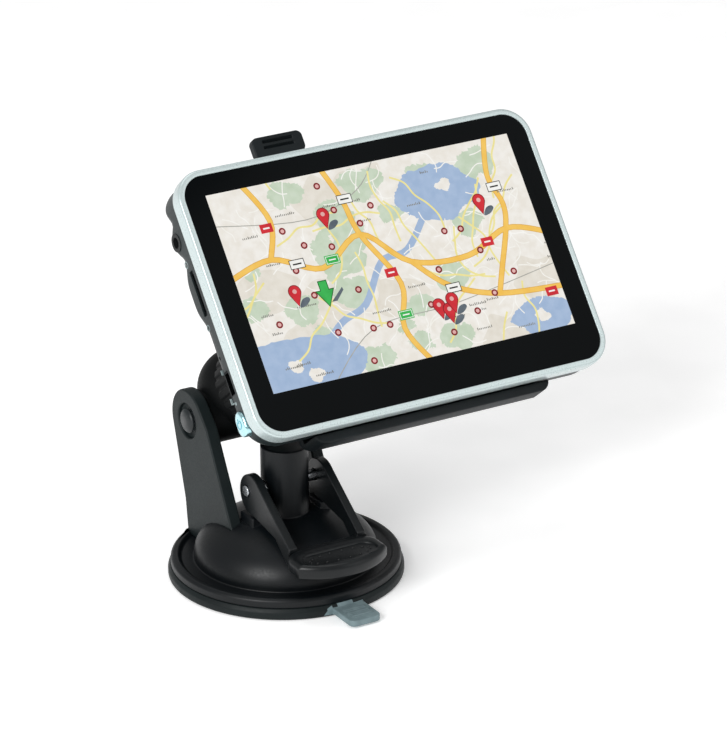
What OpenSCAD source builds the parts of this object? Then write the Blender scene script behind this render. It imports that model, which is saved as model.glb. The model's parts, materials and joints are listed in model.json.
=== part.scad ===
// Five inch car navigator in a clip-on holder, on a lever-locked suction mount with a ball joint.
// The origin is the centre of the suction cup's sealing face. +X runs along the screen's width,
// -Y points to the front, where the lever and the screen face, and +Z is up.

/* [Mount] */
// Outer radius of the rubber suction cup
cup_r = 36.6; // [36.3:0.1:42]
// Height of the rubber cup's edge
cup_h = 3.5; // [3:0.1:5]
// Radius of the hard flange over the cup
flange_r = 35.7; // [34.5:0.1:36]
// Radius of the dome at its foot
dome_r = 28.5; // [27:0.1:30]
// Height of the dome above the flange
dome_h = 14.4; // [14:0.1:16]
// Radius of the round tower
tower_r = 7.4; // [6.5:0.1:8]
// Height of the tower's top above the sealing face
tower_top = 42.3; // [38:0.1:44]

/* [Lever] */
// Height of the lever's pin
pin_z = 29.6; // [29:0.1:30.5]
// Radius of the lever's pin
pin_r = 1.75; // [1.2:0.05:2]
// Length of the thumb pad along X
pad_w = 31; // [29:0.5:36]

/* [Fork and arm] */
// Y of the tilt pivot behind the tower
pivot_y = 28; // [27:0.1:29]
// Height of the tilt pivot
pivot_z = 43.9; // [43:0.1:45]
// Half of the fork's width over its legs
fork_half = 18.65; // [17:0.05:20]
// Thickness of one fork leg
leg_t = 4.05; // [3:0.05:5]
// Radius of a leg's round head
leg_head_r = 10; // [9.5:0.1:10.5]
// Backward lean of the screen from upright, in degrees
lean = 38.5; // [35:0.5:42]
// Radius of the ball
ball_r = 6; // [5.6:0.1:6]

/* [Navigator] */
// Width over the bezel
body_w = 126.2; // [124:0.1:130]
// Height over the bezel
body_h = 87.4; // [85:0.1:90]
// Width of the front glass
glass_w = 122.1; // [120:0.1:122.5]
// Height of the front glass
glass_h = 83.3; // [81:0.1:83.5]
// Distance from the front glass to the flat back
body_d = 15.2; // [14.5:0.1:15.2]
// Distance that the screen's middle stands to the right of the mount
side_shift = 43.2; // [40:0.1:46]

/* [Hidden] */

$fn = 96;
slack = 0.05;          // radial clearance of a running fit
reach = 46.3;          // pivot to the front glass, square to the screen
rise = 21.1;           // pivot up to the screen's middle, along the screen
flange_t = 3;
flange_top = cup_h + flange_t;
groove_z = flange_top - 1.1;   // floor of the groove round the dome's foot
dome_top = flange_top + dome_h;
cavity_r = 12.5;
cavity_top = 17;
post_r = 4;
post_top = 33;
plate_r = 11;          // steel plate moulded into the cup
plate_z = 4;
plate_t = 1.2;
boss_top = 6.8;
hollow_r = 32.5;       // where the cup's underside starts to rise
hollow_h = 2.4;
lift = 1.4;            // travel of the post
leg_in = fork_half - leg_t;
bolt_r = 2.5;
cap_r = 3.9;           // domed caps over the pivot
cap_recess_r = 5.6;
ball_y = -22.1;        // ball centre from the pivot, square to the screen
ball_z = 2.9;          // and along it
socket_r = 11.3;
liner_in = ball_r + 0.25;
liner_out = liner_in + 1;
seat_r = liner_out + 0.25;
shell_inset = 0.6;
wall = 1.6;
side_x = -body_w / 2 + shell_inset;   // left wall of the rear shell
plate_y = body_d + 0.3;
plate_thick = 3;
clip_x = -16;
button_y = 9.5;
button_z = -34.4;
jack_y = 11.9;
jack_z = 25.8;
jack_bore_r = 1.75;
card_z = 8;
usb_z = -21.5;

// Places a child in the arm's frame: origin on the pivot, Y backwards square to the screen
module on_arm() {
    translate([0, pivot_y, pivot_z]) rotate([-lean, 0, 0]) children();
}

// Places a child in the navigator's frame: origin at the middle of the front glass
module on_body() {
    on_arm() translate([side_shift, -reach, rise]) children();
}

// Places a child at the ball's centre with Z pointing backwards, square to the screen
module on_ball() {
    on_arm() translate([0, ball_y, ball_z]) rotate([-90, 0, 0]) children();
}

module rounded_rect(w, h, r) {
    translate([-w / 2 + r, -h / 2]) square([w - 2 * r, h]);
    translate([-w / 2, -h / 2 + r]) square([w, h - 2 * r]);
    for (x = [-w / 2 + r, w / 2 - r], y = [-h / 2 + r, h / 2 - r])
        translate([x, y]) circle(r);
}

// Rounded slab that stands square to the screen, from depth y0 to y1
module slab(w, h, r, y0, y1) {
    translate([0, y1, 0]) rotate([90, 0, 0]) linear_extrude(y1 - y0) rounded_rect(w, h, r);
}

// Box in the navigator's frame from one corner to the other
module block(a, b) {
    translate(a) cube(b - a);
}

// Cylinder along X from x0 to x1
module rod_x(r, x0, x1) {
    translate([x0, 0, 0]) rotate([0, 90, 0]) cylinder(r = r, h = x1 - x0);
}

// ---------------------------------------------------------------- suction base

module suction_cup() color("#3a4341") {
    difference() {
        rotate_extrude() polygon(concat(
            [for (i = [0:8]) [hollow_r * i / 8, hollow_h * (1 - pow(i / 8, 2))]],
            [[cup_r - 0.3, 0], [cup_r, 0.4], [cup_r, cup_h - 1.2], [cup_r - 0.8, cup_h],
             [plate_r + 1, cup_h], [plate_r + 1, boss_top], [0, boss_top]]));
        translate([0, 0, plate_z]) cylinder(r = plate_r, h = plate_t);
        translate([0, 0, plate_z]) cylinder(r = post_r, h = 10);
    }
    pull_tab();
}

// Tab at the front of the cup for peeling it off, with three grip ridges
tab_x = 1;
module pull_tab() {
    difference() {
        union() {
            translate([tab_x - 5.3, -cup_r - 9, 0.5]) cube([10.6, 12, 2]);
            translate([tab_x - 3.3, -cup_r - 11, 0.5]) cube([6.6, 3, 2]);
            for (s = [-1, 1])
                translate([tab_x + 3.3 * s, -cup_r - 9, 0.5]) cylinder(r = 2, h = 2);
        }
        cylinder(r = cup_r - 0.4, h = 6);
    }
    for (i = [0:2])
        translate([tab_x - 3.6, -cup_r - 8.6 + 2.4 * i, 2.4]) cube([7.2, 1.1, 0.6]);
}

module foot_plate() color("#9aa0a3")
    translate([0, 0, plate_z]) difference() {
        cylinder(r = plate_r, h = plate_t);
        translate([0, 0, -1]) cylinder(r = post_r, h = 4);
    }

module suction_post() color("#8d9396")
    difference() {
        translate([0, 0, plate_z]) cylinder(r = post_r, h = post_top - plate_z);
        translate([0, 0, pin_z]) rod_x(pin_r, -10, 10);
    }

// Compression spring that pushes the post down: a round wire on a helix
spring_r = 7;
wire_r = 0.8;
spring_turns = 4;
spring_z0 = boss_top + wire_r + 0.2;
spring_z1 = cavity_top - wire_r - 0.2;
spring_steps = spring_turns * 20;
wire_sides = 8;

function wire_point(i, k) =
    let (a = 360 * spring_turns * i / spring_steps,
         b = 360 * k / wire_sides,
         r = spring_r + wire_r * cos(b))
    [r * cos(a), r * sin(a), spring_z0 + (spring_z1 - spring_z0) * i / spring_steps
        + wire_r * sin(b)];

module return_spring() color("#b8bcbe")
    polyhedron(
        points = [for (i = [0:spring_steps], k = [0:wire_sides - 1]) wire_point(i, k)],
        faces = concat(
            [[for (k = [0:wire_sides - 1]) k]],
            [for (i = [0:spring_steps - 1], k = [0:wire_sides - 1])
                [i * wire_sides + k, (i + 1) * wire_sides + k,
                 (i + 1) * wire_sides + (k + 1) % wire_sides,
                 i * wire_sides + (k + 1) % wire_sides]],
            [[for (k = [wire_sides - 1:-1:0]) spring_steps * wire_sides + k]]));

module dome_solid() {
    rotate_extrude() polygon(concat(
        [[0, cup_h], [flange_r, cup_h], [flange_r, flange_top - 0.8],
         [flange_r - 0.8, flange_top], [flange_r - 2.4, flange_top],
         [flange_r - 3.2, groove_z], [dome_r, groove_z]],
        [for (a = [0:5:90]) [dome_r * cos(a), flange_top + dome_h * sin(a)]]));
}

module base_shell() color("#2b3130")
    difference() {
        union() {
            dome_solid();
            translate([0, 0, flange_top]) cylinder(r = tower_r, h = tower_top - flange_top);
            for (s = [-1, 1])
                translate([s * (rail_in + rail_out) / 2 - 2, -4.5, 15])
                    cube([4, 8, pin_z + hub_dz - hub_r - 0.3 - 15]);
        }
        translate([0, 0, cup_h - 1]) cylinder(r = cavity_r, h = cavity_top - cup_h + 1);
        cylinder(r = post_r + slack, h = post_top + 1.5);
        translate([0, 0, tower_top - 2]) cylinder(r = tower_r - 1.4, h = 3);
        for (dz = [0, -lift])
            translate([0, 0, pin_z + dz]) rod_x(pin_r + 0.25, -20, 20);
        translate([-20, -pin_r - 0.25, pin_z - lift]) cube([40, 2 * pin_r + 0.5, lift]);
        fork_solid();
        for (s = [-1, 1]) screw_hole_space(s);
    }

// Screws up through the flange into the fork's bridge
fork_screw_x = 10;
fork_screw_y = 23.5;
module screw_hole_space(s) {
    translate([s * fork_screw_x, fork_screw_y, cup_h - 1]) cylinder(r = 1.5, h = 6);
    translate([s * fork_screw_x, fork_screw_y, cup_h - 1]) cylinder(r = 2.8, h = 2.4);
}

module fork_screws() color("#8d9396")
    for (s = [-1, 1])
        translate([s * fork_screw_x, fork_screw_y, cup_h]) {
            cylinder(r = 2.8, h = 1.4);
            cylinder(r = 1.5, h = 7);
        }

module tower_cap() color("#1b1f1f")
    translate([0, 0, tower_top - 2]) cylinder(r = tower_r - 1.4, h = 1.3);

// ---------------------------------------------------------------- lever

hub_dy = -2;           // the hubs are eccentric to the pin, which is what pulls the post up
hub_dz = -0.8;
hub_r = 6.6;
rail_in = 10.5;
rail_out = 13.3;
pad_back = -24.5;
pad_front = -41.5;
pad_bow_r = 22;        // radius of the pad's bowed front edge
pad_top = 18.8;
pad_t = 4.4;

module lever() color("#262c2c")
    difference() {
        union() {
            for (s = [-1, 1])
                translate([s * (rail_in + rail_out) / 2, 0, 0]) lever_rail(rail_out - rail_in);
            translate([0, 0, pad_top - pad_t]) linear_extrude(pad_t) intersection() {
                translate([0, (pad_back + pad_front) / 2])
                    rounded_rect(pad_w, pad_back - pad_front, 6);
                translate([0, pad_front + pad_bow_r]) circle(pad_bow_r);
            }
        }
        translate([0, 0, pin_z]) rod_x(pin_r + slack, -20, 20);
        translate([0, (pad_back + pad_front) / 2 - 0.6, pad_top - 0.7])
            linear_extrude(2) rounded_rect(25, 8.6, 4.2);
    }

// One side plate of the lever, t thick: a hub, and a web that runs down to the pad
module lever_rail(t) {
    translate([0, hub_dy, pin_z + hub_dz]) rod_x(hub_r, -t / 2, t / 2);
    translate([-t / 2, 0, 0]) rotate([90, 0, 90]) linear_extrude(t)
        polygon([[hub_dy + 2.6, pin_z + hub_dz + 6], [hub_dy - 4.2, pin_z + hub_dz + 5],
                 [pad_back - 3, pad_top], [pad_back - 3, pad_top - pad_t],
                 [pad_back + 0.5, pad_top - pad_t], [-17, 20.2], [hub_dy - 1, pin_z + hub_dz - 6.3]]);
}

module lever_pin() color("#c9cdd0")
    translate([0, 0, pin_z]) rod_x(pin_r, -rail_out - 0.6, rail_out + 0.6);

// ---------------------------------------------------------------- fork and arm

front_foot = 5.6;      // Y of the front edge at height 26.5, where its slope is measured
front_slope = 0.524;
neck_y = 30.7;
neck_z = 16.9;

// Outline of a fork leg in the Y-Z plane
module leg_outline() {
    shoulder_z = pivot_z + 1.3;
    translate([pivot_y, pivot_z]) circle(leg_head_r);
    polygon([[front_foot + front_slope * (groove_z - 26.5), groove_z],
             [front_foot + front_slope * (shoulder_z - 26.5), shoulder_z],
             [pivot_y - leg_head_r * cos(50), pivot_z + leg_head_r * sin(50)],
             [pivot_y + leg_head_r * cos(17), pivot_z - leg_head_r * sin(17)],
             [neck_y, neck_z], [neck_y - 1.4, groove_z]]);
}

module fork_solid() {
    for (s = [0, 1]) mirror([s, 0, 0])
        translate([leg_in, 0, 0]) rotate([90, 0, 90]) linear_extrude(leg_t) leg_outline();
    translate([-leg_in - 1, 20, flange_top]) cube([2 * leg_in + 2, 7, 4.6]);
}

module fork() color("#333a39")
    difference() {
        fork_solid();
        translate([0, pivot_y, pivot_z]) {
            rod_x(bolt_r, -30, 30);
            rod_x(cap_recess_r, fork_half - 1.6, 30);
            rod_x(cap_recess_r, -30, -fork_half + 1.6);
        }
        for (s = [-1, 1])
            translate([s * fork_screw_x, fork_screw_y, 0]) cylinder(r = 1.5, h = cup_h + 7);
    }

module pivot_bolt() color("#a9aeb1")
    translate([0, pivot_y, pivot_z]) {
        rod_x(bolt_r, -fork_half + 0.6, fork_half - 0.6);
        rod_x(3.6, -fork_half + 0.6, -fork_half + 1.6);
    }

module pivot_nut() color("#a9aeb1")
    translate([0, pivot_y, pivot_z]) difference() {
        rod_x(4.2, fork_half - 1.6, fork_half - 0.6);
        rod_x(bolt_r, 0, 30);
    }

// Domed push-in caps over the bolt's ends
module pivot_caps() color("#3c4444")
    for (s = [-1, 1])
        translate([s * (fork_half - 0.6), pivot_y, pivot_z]) rotate([0, 90 * s, 0])
            rotate_extrude() polygon([[0, 0], [cap_r, 0], [cap_r, 0.5], [cap_r * 0.85, 1.1],
                                      [cap_r * 0.5, 1.5], [0, 1.65]]);

washer_t = 0.5;
barrel_half = leg_in - washer_t - 0.06;
barrel_r = 8.8;
knuckle_r = 13.3;

module friction_washers() color("#6d7173")
    for (s = [-1, 1])
        translate([s * (leg_in - washer_t / 2), pivot_y, pivot_z]) difference() {
            rod_x(8, -washer_t / 2, washer_t / 2);
            rod_x(bolt_r + slack, -2, 2);
        }

module ball_arm() color("#23292a")
    on_arm() difference() {
        union() {
            rod_x(barrel_r, -barrel_half, barrel_half);
            intersection() {
                translate([0, -4.7, 5.2]) rotate([0, -90, 0]) sphere(knuckle_r);
                block([-20, -13.3, -20], [20, 20, 20]);
            }
            translate([0, ball_y, ball_z]) sphere(ball_r);
            translate([0, ball_y, ball_z]) rotate([-90, 0, 0]) cylinder(r = 3.4, h = 14);
        }
        rod_x(bolt_r + slack, -30, 30);
    }

// ---------------------------------------------------------------- ball socket

// Shell of a sphere between two angles from the axis that points at the screen
module liner(a0, a1) {
    rotate_extrude() polygon(concat(
        [for (i = [0:8]) let (a = a0 + (a1 - a0) * i / 8) liner_out * [sin(a), -cos(a)]],
        [for (i = [8:-1:0]) let (a = a0 + (a1 - a0) * i / 8) liner_in * [sin(a), -cos(a)]]));
}

module front_liner() color("#c9c7bd") on_ball() liner(14, 78);

module rear_liner() color("#c9c7bd") on_ball() liner(98, 132);

socket_front = -5.7;   // along the ball's axis, where the socket meets the holder
socket_back = 3.8;
nut_r = 14;

module socket_cup() color("#242a2a")
    on_ball() difference() {
        translate([0, 0, socket_front]) cylinder(r = socket_r, h = socket_back - socket_front);
        sphere(seat_r);
        for (s = [-1, 1])
            translate([holder_screw_x * s, 0, socket_front - 1]) cylinder(r = 1.2, h = 4.2);
    }

module socket_nut() color("#1e2323")
    on_ball() difference() {
        translate([0, 0, socket_front + 1.2]) cylinder(r = nut_r, h = 9.7);
        translate([0, 0, socket_front]) cylinder(r = socket_r + slack, h = 9.6);
        sphere(seat_r);
        for (i = [0:23]) rotate(15 * i)
            translate([nut_r + 0.35, 0, -20]) cylinder(r = 0.9, h = 40);
    }

// ---------------------------------------------------------------- holder

shelf_y = 6.5;
holder_screw_x = 9.1;
shelf_half = 42;
shelf_top = -43.5;
shelf_t = 3.2;
bend_r = 5;
socket_z = rise - ball_z;     // the socket's height below the screen's middle

module holder_plate() color("#242a2a")
    on_body() difference() {
        union() {
            translate([0, plate_y + plate_thick, 0]) rotate([90, 0, 0])
                linear_extrude(plate_thick) holder_outline();
            intersection() {
                translate([-shelf_half, 0, 0]) rotate([90, 0, 90])
                    linear_extrude(2 * shelf_half) shelf_profile();
                translate([0, 0, shelf_top - shelf_t + 10])
                    slab(2 * shelf_half, 20, 3.4, 0, 30);
            }
        }
        for (s = [-1, 1])
            translate([-side_shift + holder_screw_x * s, plate_y - 1, -socket_z])
                rotate([-90, 0, 0]) {
                    cylinder(r = 1.2, h = 6);
                    cylinder(r = 2.2, h = 2.4);
                }
        translate([-side_shift, reach + ball_y, -socket_z]) sphere(seat_r);
    }

// Section of the shelf and its round bend into the back plate, as [depth, height]
module shelf_profile() {
    difference() {
        union() {
            translate([shelf_y, shelf_top - shelf_t])
                square([plate_y + plate_thick - bend_r - shelf_y, shelf_t]);
            translate([plate_y + plate_thick - bend_r, shelf_top - shelf_t + bend_r]) circle(bend_r);
            translate([plate_y, shelf_top - shelf_t + bend_r]) square([plate_thick, 14]);
        }
        translate([0, shelf_top]) square([plate_y, 40]);
    }
}

// Flat outline of the holder's back plate, seen from behind the screen
module holder_outline() {
    translate([-side_shift, -socket_z]) circle(14.3);
    translate([-side_shift, -socket_z - 14.3]) square([side_shift + 10, 28.6]);
    translate([-20, -12]) square([40, 44]);
    for (s = [-1, 1])
        translate([clip_x + s * 12, 32]) circle(4);
    translate([clip_x - 12, 28]) square([24, 5]);
}

module holder_screws() color("#9aa0a3")
    on_body() for (s = [-1, 1])
        translate([-side_shift + holder_screw_x * s, plate_y + 0.1, -socket_z])
            rotate([-90, 0, 0]) {
                cylinder(r = 2.2, h = 1.3);
                cylinder(r = 1.2, h = 5.9);
            }

clip_root = 33.4;      // bottom of the springy tongue
clip_tip = 54.6;

module release_clip() color("#1f2525")
    on_body() difference() {
        union() {
            block([clip_x - 7.2, plate_y, clip_root + 3], [clip_x + 7.2, plate_y + 2.6, 50]);
            translate([clip_x, plate_y + 2.6, clip_tip - 3.5]) rotate([90, 0, 0])
                linear_extrude(3) rounded_rect(17.8, 7, 2);
            block([clip_x - 7, 13.4, 43.6], [clip_x + 7, plate_y + 1, 46]);
        }
        for (z = [clip_tip - 4.2, clip_tip - 2.2])
            block([clip_x - 5.2, plate_y - 1, z], [clip_x + 5.2, plate_y + 0.1, z + 0.7]);
    }

// ---------------------------------------------------------------- navigator, front

module front_glass() color("#101416") on_body() slab(glass_w, glass_h, 7.5, 0, 1);

module bezel_ring() color("#c8ced0")
    on_body() difference() {
        slab(body_w, body_h, 10.5, -0.3, 5);
        slab(glass_w + 0.1, glass_h + 0.1, 7.5, -2, 1);
        slab(118, 79, 5, 0, 6);
    }

lcd_z = 1.9;
module lcd_panel() color("#6f7f8f")
    on_body() translate([0, 0, lcd_z]) slab(116, 74, 3, 1, 3.8);

module lcd_tray() color("#aeb4b6")
    on_body() translate([0, 0, lcd_z]) difference() {
        slab(116, 74, 3, 3.8, 4.4);
        for (x = [-40, 0, 40])
            translate([x, 6, -18]) rotate([90, 0, 0]) cylinder(r = 5, h = 4);
    }

// ---------------------------------------------------------------- navigator, inside

module battery() color("#b9bcc0")
    on_body() translate([2, 0, -6]) slab(54, 44, 2, 4.6, 8.2);

module main_board() color("#1f6b3c")
    on_body() difference() {
        block([-45, 8.5, -34], [45, 9.5, 36]);
        for (x = [-41, 41], z = [-30, 32])
            translate([x, 12, z]) rotate([90, 0, 0]) cylinder(r = 1.3, h = 6);
        block([28, 8, -36], [54, 10, -14]);
    }

module shield_cans() color("#c3c8ca")
    on_body() {
        block([-34, 9.5, -6], [-8, 11.4, 18]);
        block([-2, 9.5, -20], [20, 11.4, -2]);
    }

module gps_antenna() color("#d8cfae")
    on_body() {
        block([14, 9.5, 14], [32, 12.8, 32]);
        translate([23, 13.2, 23]) rotate([90, 0, 0]) cylinder(r = 1, h = 0.4);
    }

speaker_x = 38;
speaker_z = -24;
module speaker() color("#3b3f42")
    on_body() translate([speaker_x, 0, speaker_z]) {
        translate([0, 12.9, 0]) rotate([90, 0, 0]) cylinder(r = 9.5, h = 3.6);
        translate([0, 9.3, 0]) rotate([90, 0, 0]) cylinder(r = 7, h = 2.4);
    }

// Socket body with a round nose that fills its hole in the shell's side
module earphone_jack() color("#15191a")
    on_body() translate([0, jack_y, jack_z]) difference() {
        union() {
            rod_x(2.9, side_x - 0.2, side_x + 3);
            block([side_x + wall + 0.1, -2.3, -3], [side_x + 15, 2.2, 3]);
        }
        rod_x(jack_bore_r, side_x - 1, side_x + 13.2);
    }

module card_socket() color("#b4babc")
    on_body() difference() {
        block([side_x + 0.5, 7.7, card_z - 7.4], [-46, 10.1, card_z + 7.4]);
        block([side_x - 1, 8.3, card_z - 6.4], [-47, 9.5, card_z + 6.4]);
    }

module usb_socket() color("#b4babc")
    on_body() difference() {
        block([side_x + 0.4, 7.2, usb_z - 4], [side_x + 9.5, 11.2, usb_z + 4]);
        block([side_x - 1, 7.7, usb_z - 3.5], [side_x + 8.5, 10.7, usb_z + 3.5]);
        block([side_x - 1, 8.8, usb_z - 2.2], [side_x + 2, 9.6, usb_z + 2.2]);
    }

module reset_switch() color("#888e90")
    on_body() {
        block([side_x + wall + 0.2, 8.3, -14.5], [side_x + 5, 11, -11.5]);
        translate([0, 9.6, -13]) rod_x(0.45, side_x + 0.7, side_x + wall + 0.2);
    }

module power_switch() color("#888e90")
    on_body() {
        block([side_x + 6.2, 7.4, button_z + 0.8], [side_x + 9, 11.6, button_z + 5]);
        translate([0, button_y, button_z + 2.5]) rod_x(1, side_x + 5.6, side_x + 6.2);
    }

// Oval outline of the power button, grown by g, as an extrusion along X
module button_oval(g, x0, x1) {
    translate([x0, button_y, button_z]) rotate([90, 0, 90]) linear_extrude(x1 - x0) {
        for (z = [-1, 1]) translate([0, z]) circle(3 + g);
        translate([-3 - g, -1]) square([6 + 2 * g, 2]);
    }
}

module power_button() color("#a8dfe6")
    on_body() {
        button_oval(0, side_x - 1.2, side_x + 2.2);
        block([side_x + 2.7, button_y - 3.3, button_z - 1.6],
              [side_x + 3.6, button_y + 2.2, button_z + 5.4]);
        button_oval(-1, side_x + 2, side_x + 4.9);
    }

// ---------------------------------------------------------------- navigator, rear shell

shell_w = body_w - 2 * shell_inset;
shell_h = body_h - 2 * shell_inset;
shoulder_y = 11.5;
back_inset = 4.5;

// The shell's outside, or its hollow when t is the wall's thickness
module shell_form(t) {
    slab(shell_w - 2 * t, shell_h - 2 * t, 10 - t, t > 0 ? 4 : 5, shoulder_y);
    hull() {
        $fn = 32;
        slab(shell_w - 2 * t, shell_h - 2 * t, 10 - t, shoulder_y - 0.1, shoulder_y);
        slab(shell_w - 2 * t - 2 * back_inset, shell_h - 2 * t - 2 * back_inset, 7,
             body_d - t - 0.1, body_d - t);
    }
}

module rear_shell() color("#1d2323")
    on_body() difference() {
        union() {
            difference() {
                union() {
                    shell_form(0);
                    translate([0, jack_y, jack_z]) rod_x(4.4, side_x, side_x + 3.8);
                    block([side_x, 7, card_z - 7.6], [side_x + 3.8, 16, card_z + 7.6]);
                }
                shell_form(wall);
            }
            for (x = [-1, 1], z = [-1, 1])
                translate([x * screw_x, body_d - 0.5, z * screw_z]) rotate([90, 0, 0])
                    cylinder(r = 3.4, h = 8);
        }
        for (x = [-1, 1], z = [-1, 1])
            translate([x * screw_x, body_d + 1, z * screw_z]) rotate([90, 0, 0]) {
                cylinder(r = 1.1, h = 12);
                cylinder(r = 2.3, h = 3.2);
            }
        translate([0, jack_y, jack_z]) rod_x(2.9, side_x - 1, side_x + 5);
        block([side_x + wall, jack_y - 2.4, jack_z - 3.1],
              [side_x + 15.1, jack_y + 2.3, jack_z + 3.1]);
        block([side_x - 1, 7.7, card_z - 7.4], [side_x + 6, 10.1, card_z + 7.4]);
        block([side_x - 1, 7.2, usb_z - 4], [side_x + 6, 11.2, usb_z + 4]);
        translate([0, 9.6, -13]) rod_x(0.6, side_x - 1, side_x + 5);
        button_oval(0.1, side_x - 2, side_x + 5);
        for (i = [-3:3])
            translate([speaker_x, 0, speaker_z + 2.2 * i]) block([-7, 10, -0.5], [7, 20, 0.5]);
    }

screw_x = 49;
screw_z = 33.5;

module housing_screws() color("#5c6264")
    on_body() for (x = [-1, 1], z = [-1, 1])
        translate([x * screw_x, body_d - 0.8, z * screw_z]) rotate([90, 0, 0]) {
            cylinder(r = 2.3, h = 1.4);
            cylinder(r = 1.1, h = 7);
        }

suction_cup();
foot_plate();
suction_post();
return_spring();
base_shell();
tower_cap();
lever();
lever_pin();
fork();
fork_screws();
pivot_bolt();
pivot_nut();
pivot_caps();
friction_washers();
ball_arm();
rear_liner();
front_liner();
socket_nut();
socket_cup();
holder_plate();
holder_screws();
release_clip();
front_glass();
bezel_ring();
lcd_panel();
lcd_tray();
battery();
main_board();
shield_cans();
gps_antenna();
speaker();
earphone_jack();
card_socket();
usb_socket();
reset_switch();
power_switch();
power_button();
rear_shell();
housing_screws();
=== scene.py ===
import json
import math
import random
import bmesh
import bpy
from mathutils import Matrix, Vector


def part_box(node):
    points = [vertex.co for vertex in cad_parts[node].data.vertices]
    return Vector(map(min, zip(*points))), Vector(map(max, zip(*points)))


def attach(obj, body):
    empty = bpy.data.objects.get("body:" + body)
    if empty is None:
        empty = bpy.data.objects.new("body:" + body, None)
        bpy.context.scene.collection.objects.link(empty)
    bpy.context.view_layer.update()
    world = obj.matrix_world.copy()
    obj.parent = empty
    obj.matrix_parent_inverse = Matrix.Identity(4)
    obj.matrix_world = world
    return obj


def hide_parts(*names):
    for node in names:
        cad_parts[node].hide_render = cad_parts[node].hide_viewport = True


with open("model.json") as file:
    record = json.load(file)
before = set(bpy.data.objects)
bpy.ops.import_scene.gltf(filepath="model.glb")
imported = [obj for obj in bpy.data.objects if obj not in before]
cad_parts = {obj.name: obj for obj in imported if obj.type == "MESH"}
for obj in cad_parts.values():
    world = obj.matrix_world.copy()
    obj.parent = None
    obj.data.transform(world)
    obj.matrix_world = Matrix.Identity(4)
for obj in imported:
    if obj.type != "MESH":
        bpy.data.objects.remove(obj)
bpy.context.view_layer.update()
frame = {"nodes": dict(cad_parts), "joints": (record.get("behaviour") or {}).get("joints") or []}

# Looks for a five inch car navigator in a clip-on holder on a lever-locked suction mount.
# Lengths are in millimetres and become metres in the placing matrices.
MM = 0.001
random.seed(7)

joints = {j["name"]: j for j in frame["joints"]}
RIGHT = Vector((1, 0, 0))
FRONT = Vector(joints["ball_roll"]["axis"]).normalized()   # square out of the screen
BACK = -FRONT
UP = Vector(joints["ball_pan"]["axis"]).normalized()       # up along the screen


def placing(origin, x_axis=RIGHT, y_axis=None, z_axis=None):
    """Matrix that takes millimetres in a piece's own axes to metres in the row frame."""
    y_axis = y_axis or Vector((0, 1, 0))
    z_axis = z_axis or Vector((0, 0, 1))
    turn = Matrix((x_axis, y_axis, z_axis)).transposed().to_4x4()
    return Matrix.Translation(origin) @ turn @ Matrix.Scale(MM, 4)


def middle(node_name):
    low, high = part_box(node_name)
    return (low + high) / 2


GLASS_T = 1.0
MOUNT = placing(Vector((0, 0, 0)))
DEVICE = placing(middle("front_glass") + FRONT * GLASS_T / 2 * MM, RIGHT, BACK, UP)


# ------------------------------------------------------------------ materials

def linear(code):
    """sRGB hex to linear RGBA."""
    parts = [int(code[i:i + 2], 16) / 255 for i in (1, 3, 5)]
    return tuple(p / 12.92 if p <= 0.04045 else ((p + 0.055) / 1.055) ** 2.4 for p in parts) + (1.0,)


def put(tree, kind, settings=(), links=()):
    """Adds a node. Settings name its input sockets or its own properties; links feed inputs from (node, output)."""
    new = tree.nodes.new("ShaderNode" + kind)
    for key, value in dict(settings).items():
        if key in new.inputs:
            new.inputs[key].default_value = value
        else:
            setattr(new, key, value)
    for key, (source, output) in dict(links).items():
        tree.links.new(source.outputs[output], new.inputs[key])
    return new


def start_material(name):
    material = bpy.data.materials.new(name)
    material.use_nodes = True
    material.node_tree.nodes.clear()
    tree = material.node_tree
    return material, tree, put(tree, "TexCoord")


def end_material(tree, shader):
    put(tree, "OutputMaterial", links={"Surface": (shader, "BSDF")})


def ramp(tree, low, high, colours, factor):
    """Blends two hex colours while the factor goes from low to high."""
    new = put(tree, "ValToRGB", links={"Fac": factor})
    for stop, place, code in zip(new.color_ramp.elements, (low, high), colours):
        stop.position = place
        stop.color = linear(code)
    return new


def moulded_plastic(name, colours, roughness, grain_mm, relief_mm, coat=0.0, patch_mm=18, sheen=0.25):
    """Injection-moulded ABS or nylon: a spark-eroded grain grain_mm across and relief_mm deep,
    and a very slow change of tone from the melt's flow."""
    material, tree, place = start_material(name)
    grain = put(tree, "TexNoise", {"Scale": 1000 / grain_mm, "Detail": 3.0, "Roughness": 0.55},
                {"Vector": (place, "Object")})
    flow = put(tree, "TexNoise", {"Scale": 1000 / patch_mm, "Detail": 2.0, "Roughness": 0.5},
               {"Vector": (place, "Object")})
    tone = ramp(tree, 0.35, 0.68, colours, (flow, "Fac"))
    gloss = put(tree, "MapRange", {"From Min": 0.3, "From Max": 0.7, "To Min": roughness - 0.05,
                                   "To Max": roughness + 0.06}, {"Value": (grain, "Fac")})
    bump = put(tree, "Bump", {"Strength": 0.6, "Distance": relief_mm * MM}, {"Height": (grain, "Fac")})
    shader = put(tree, "BsdfPrincipled", {"IOR": 1.53, "Specular IOR Level": sheen, "Coat Weight": coat, "Coat Roughness": 0.25},
                 {"Base Color": (tone, "Color"), "Roughness": (gloss, "Result"), "Normal": (bump, "Normal")})
    end_material(tree, shader)
    return material


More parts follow.
